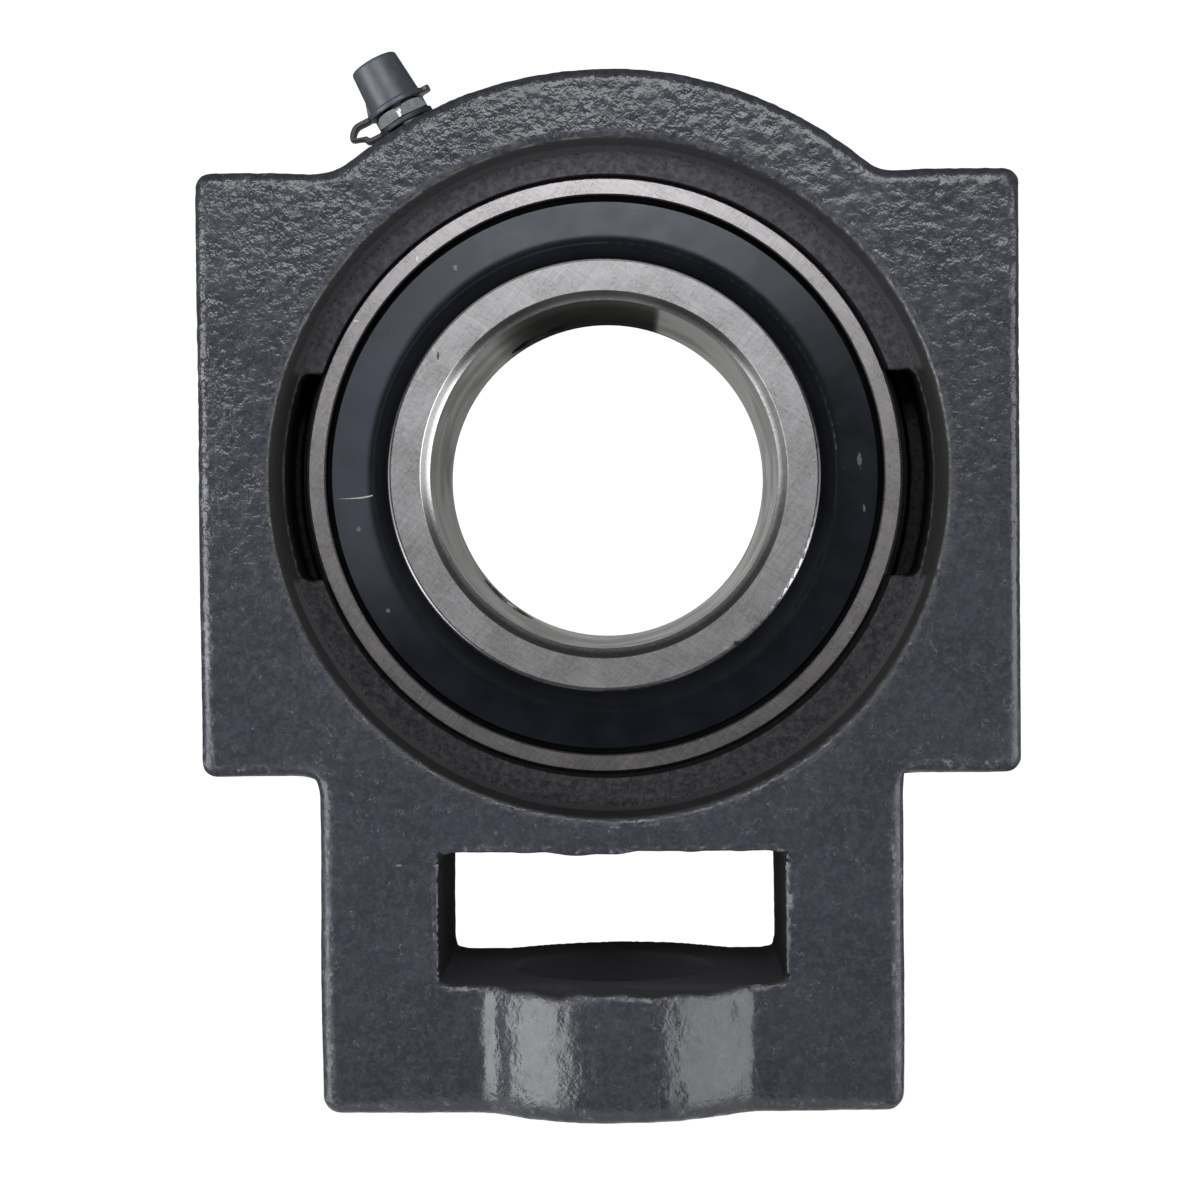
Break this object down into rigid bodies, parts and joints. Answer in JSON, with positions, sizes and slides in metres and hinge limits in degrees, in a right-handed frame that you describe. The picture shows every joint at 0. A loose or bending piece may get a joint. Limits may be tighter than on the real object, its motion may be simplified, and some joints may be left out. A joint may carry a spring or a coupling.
{
  "type": "take-up bearing unit",
  "caption": "Cast take-up housing with side guide grooves and an end slot for an adjusting screw, holding a self-aligning ball bearing insert with grease nipple",
  "frame": {"origin": "centre of the bearing on the shaft axis, midway across the outer ring", "axes": "+Y along the shaft, from the face shown to the side with the set screws; +Z along the travel of the unit, away from the adjusting screw; +X to the right as seen from the face shown"},
  "size_m": [0.1182, 0.0592, 0.156],
  "materials": {
    "painted_casting": "dark grey paint over cast skin",
    "bearing_steel": "ground",
    "polished_steel": "polished",
    "pressed_steel": "pressed sheet",
    "blackened_steel": "satin black oxide",
    "plated_steel": "zinc plated",
    "seal_rubber": "matt",
    "cap_plastic": "moulded grey"
  },
  "bodies": {
    "housing": {"housing": "painted_casting", "grease_nipple": "plated_steel", "nipple_spring": "plated_steel", "cap_strap": "cap_plastic"},
    "outer_race": {"outer_ring": "bearing_steel", "seal_core_front": "pressed_steel", "seal_lip_front": "seal_rubber", "seal_core_rear": "pressed_steel", "seal_lip_rear": "seal_rubber"},
    "inner_race": {"inner_ring": "bearing_steel", "flinger_front": "blackened_steel", "flinger_rear": "blackened_steel"},
    "cage": {"cage_front": "pressed_steel", "cage_rear": "pressed_steel", "cage_rivet_01": "pressed_steel", "cage_rivet_02": "pressed_steel", "cage_rivet_03": "pressed_steel", "cage_rivet_04": "pressed_steel", "cage_rivet_05": "pressed_steel", "cage_rivet_06": "pressed_steel", "cage_rivet_07": "pressed_steel", "cage_rivet_08": "pressed_steel", "cage_rivet_09": "pressed_steel", "cage_rivet_10": "pressed_steel"},
    "ball_01": {"ball_01": "polished_steel"},
    "ball_02": {"ball_02": "polished_steel"},
    "ball_03": {"ball_03": "polished_steel"},
    "ball_04": {"ball_04": "polished_steel"},
    "ball_05": {"ball_05": "polished_steel"},
    "ball_06": {"ball_06": "polished_steel"},
    "ball_07": {"ball_07": "polished_steel"},
    "ball_08": {"ball_08": "polished_steel"},
    "ball_09": {"ball_09": "polished_steel"},
    "ball_10": {"ball_10": "polished_steel"},
    "set_screw_1": {"set_screw_1": "blackened_steel"},
    "set_screw_2": {"set_screw_2": "blackened_steel"},
    "check_ball": {"nipple_ball": "polished_steel"},
    "grease_cap": {"grease_cap": "cap_plastic"}
  },
  "joints": [
    {"name": "insert_align", "type": "hinge", "parent": "housing", "child": "outer_race", "pos_m": [0, 0, 0], "axis": [1, 0, 0], "range_deg": [-5, 5]},
    {"name": "shaft_spin", "type": "hinge", "parent": "outer_race", "child": "inner_race", "pos_m": [0, 0, 0], "axis": [0, 1, 0], "continuous": true},
    {"name": "cage_orbit", "type": "hinge", "parent": "outer_race", "child": "cage", "pos_m": [0, 0, 0], "axis": [0, 1, 0], "continuous": true},
    {"name": "ball_01_spin", "type": "hinge", "parent": "cage", "child": "ball_01", "pos_m": [0.035, 0, 0], "axis": [0, 1, 0], "continuous": true},
    {"name": "ball_02_spin", "type": "hinge", "parent": "cage", "child": "ball_02", "pos_m": [0.02832, 0, 0.02057], "axis": [0, 1, 0], "continuous": true},
    {"name": "ball_03_spin", "type": "hinge", "parent": "cage", "child": "ball_03", "pos_m": [0.01082, 0, 0.03329], "axis": [0, 1, 0], "continuous": true},
    {"name": "ball_04_spin", "type": "hinge", "parent": "cage", "child": "ball_04", "pos_m": [-0.01082, 0, 0.03329], "axis": [0, 1, 0], "continuous": true},
    {"name": "ball_05_spin", "type": "hinge", "parent": "cage", "child": "ball_05", "pos_m": [-0.02832, 0, 0.02057], "axis": [0, 1, 0], "continuous": true},
    {"name": "ball_06_spin", "type": "hinge", "parent": "cage", "child": "ball_06", "pos_m": [-0.035, 0, 0], "axis": [0, 1, 0], "continuous": true},
    {"name": "ball_07_spin", "type": "hinge", "parent": "cage", "child": "ball_07", "pos_m": [-0.02832, 0, -0.02057], "axis": [0, 1, 0], "continuous": true},
    {"name": "ball_08_spin", "type": "hinge", "parent": "cage", "child": "ball_08", "pos_m": [-0.01082, 0, -0.03329], "axis": [0, 1, 0], "continuous": true},
    {"name": "ball_09_spin", "type": "hinge", "parent": "cage", "child": "ball_09", "pos_m": [0.01082, 0, -0.03329], "axis": [0, 1, 0], "continuous": true},
    {"name": "ball_10_spin", "type": "hinge", "parent": "cage", "child": "ball_10", "pos_m": [0.02832, 0, -0.02057], "axis": [0, 1, 0], "continuous": true},
    {"name": "set_screw_1_travel", "type": "slide", "parent": "inner_race", "child": "set_screw_1", "axis": [0.4226, 0, -0.9063], "range_m": [-0.003, 0.0005]},
    {"name": "set_screw_2_travel", "type": "slide", "parent": "inner_race", "child": "set_screw_2", "axis": [0.6428, 0, 0.766], "range_m": [-0.003, 0.0005]},
    {"name": "check_ball_lift", "type": "slide", "parent": "housing", "child": "check_ball", "axis": [0.4822, 0, -0.8761], "range_m": [0, 0.001], "stiffness_N_per_m": 300, "springref_m": -0.002, "deforming": ["nipple_spring"]},
    {"name": "grease_cap_pull", "type": "slide", "parent": "housing", "child": "grease_cap", "axis": [-0.4822, 0, 0.8761], "range_m": [0, 0.012], "deforming": ["cap_strap"]}
  ],
  "couplings": [
    {"joint": "cage_orbit", "follows": "shaft_spin", "ratio": 0.40929},
    {"joint": "ball_01_spin", "follows": "shaft_spin", "ratio": -2.6652},
    {"joint": "ball_02_spin", "follows": "shaft_spin", "ratio": -2.6652},
    {"joint": "ball_03_spin", "follows": "shaft_spin", "ratio": -2.6652},
    {"joint": "ball_04_spin", "follows": "shaft_spin", "ratio": -2.6652},
    {"joint": "ball_05_spin", "follows": "shaft_spin", "ratio": -2.6652},
    {"joint": "ball_06_spin", "follows": "shaft_spin", "ratio": -2.6652},
    {"joint": "ball_07_spin", "follows": "shaft_spin", "ratio": -2.6652},
    {"joint": "ball_08_spin", "follows": "shaft_spin", "ratio": -2.6652},
    {"joint": "ball_09_spin", "follows": "shaft_spin", "ratio": -2.6652},
    {"joint": "ball_10_spin", "follows": "shaft_spin", "ratio": -2.6652}
  ]
}
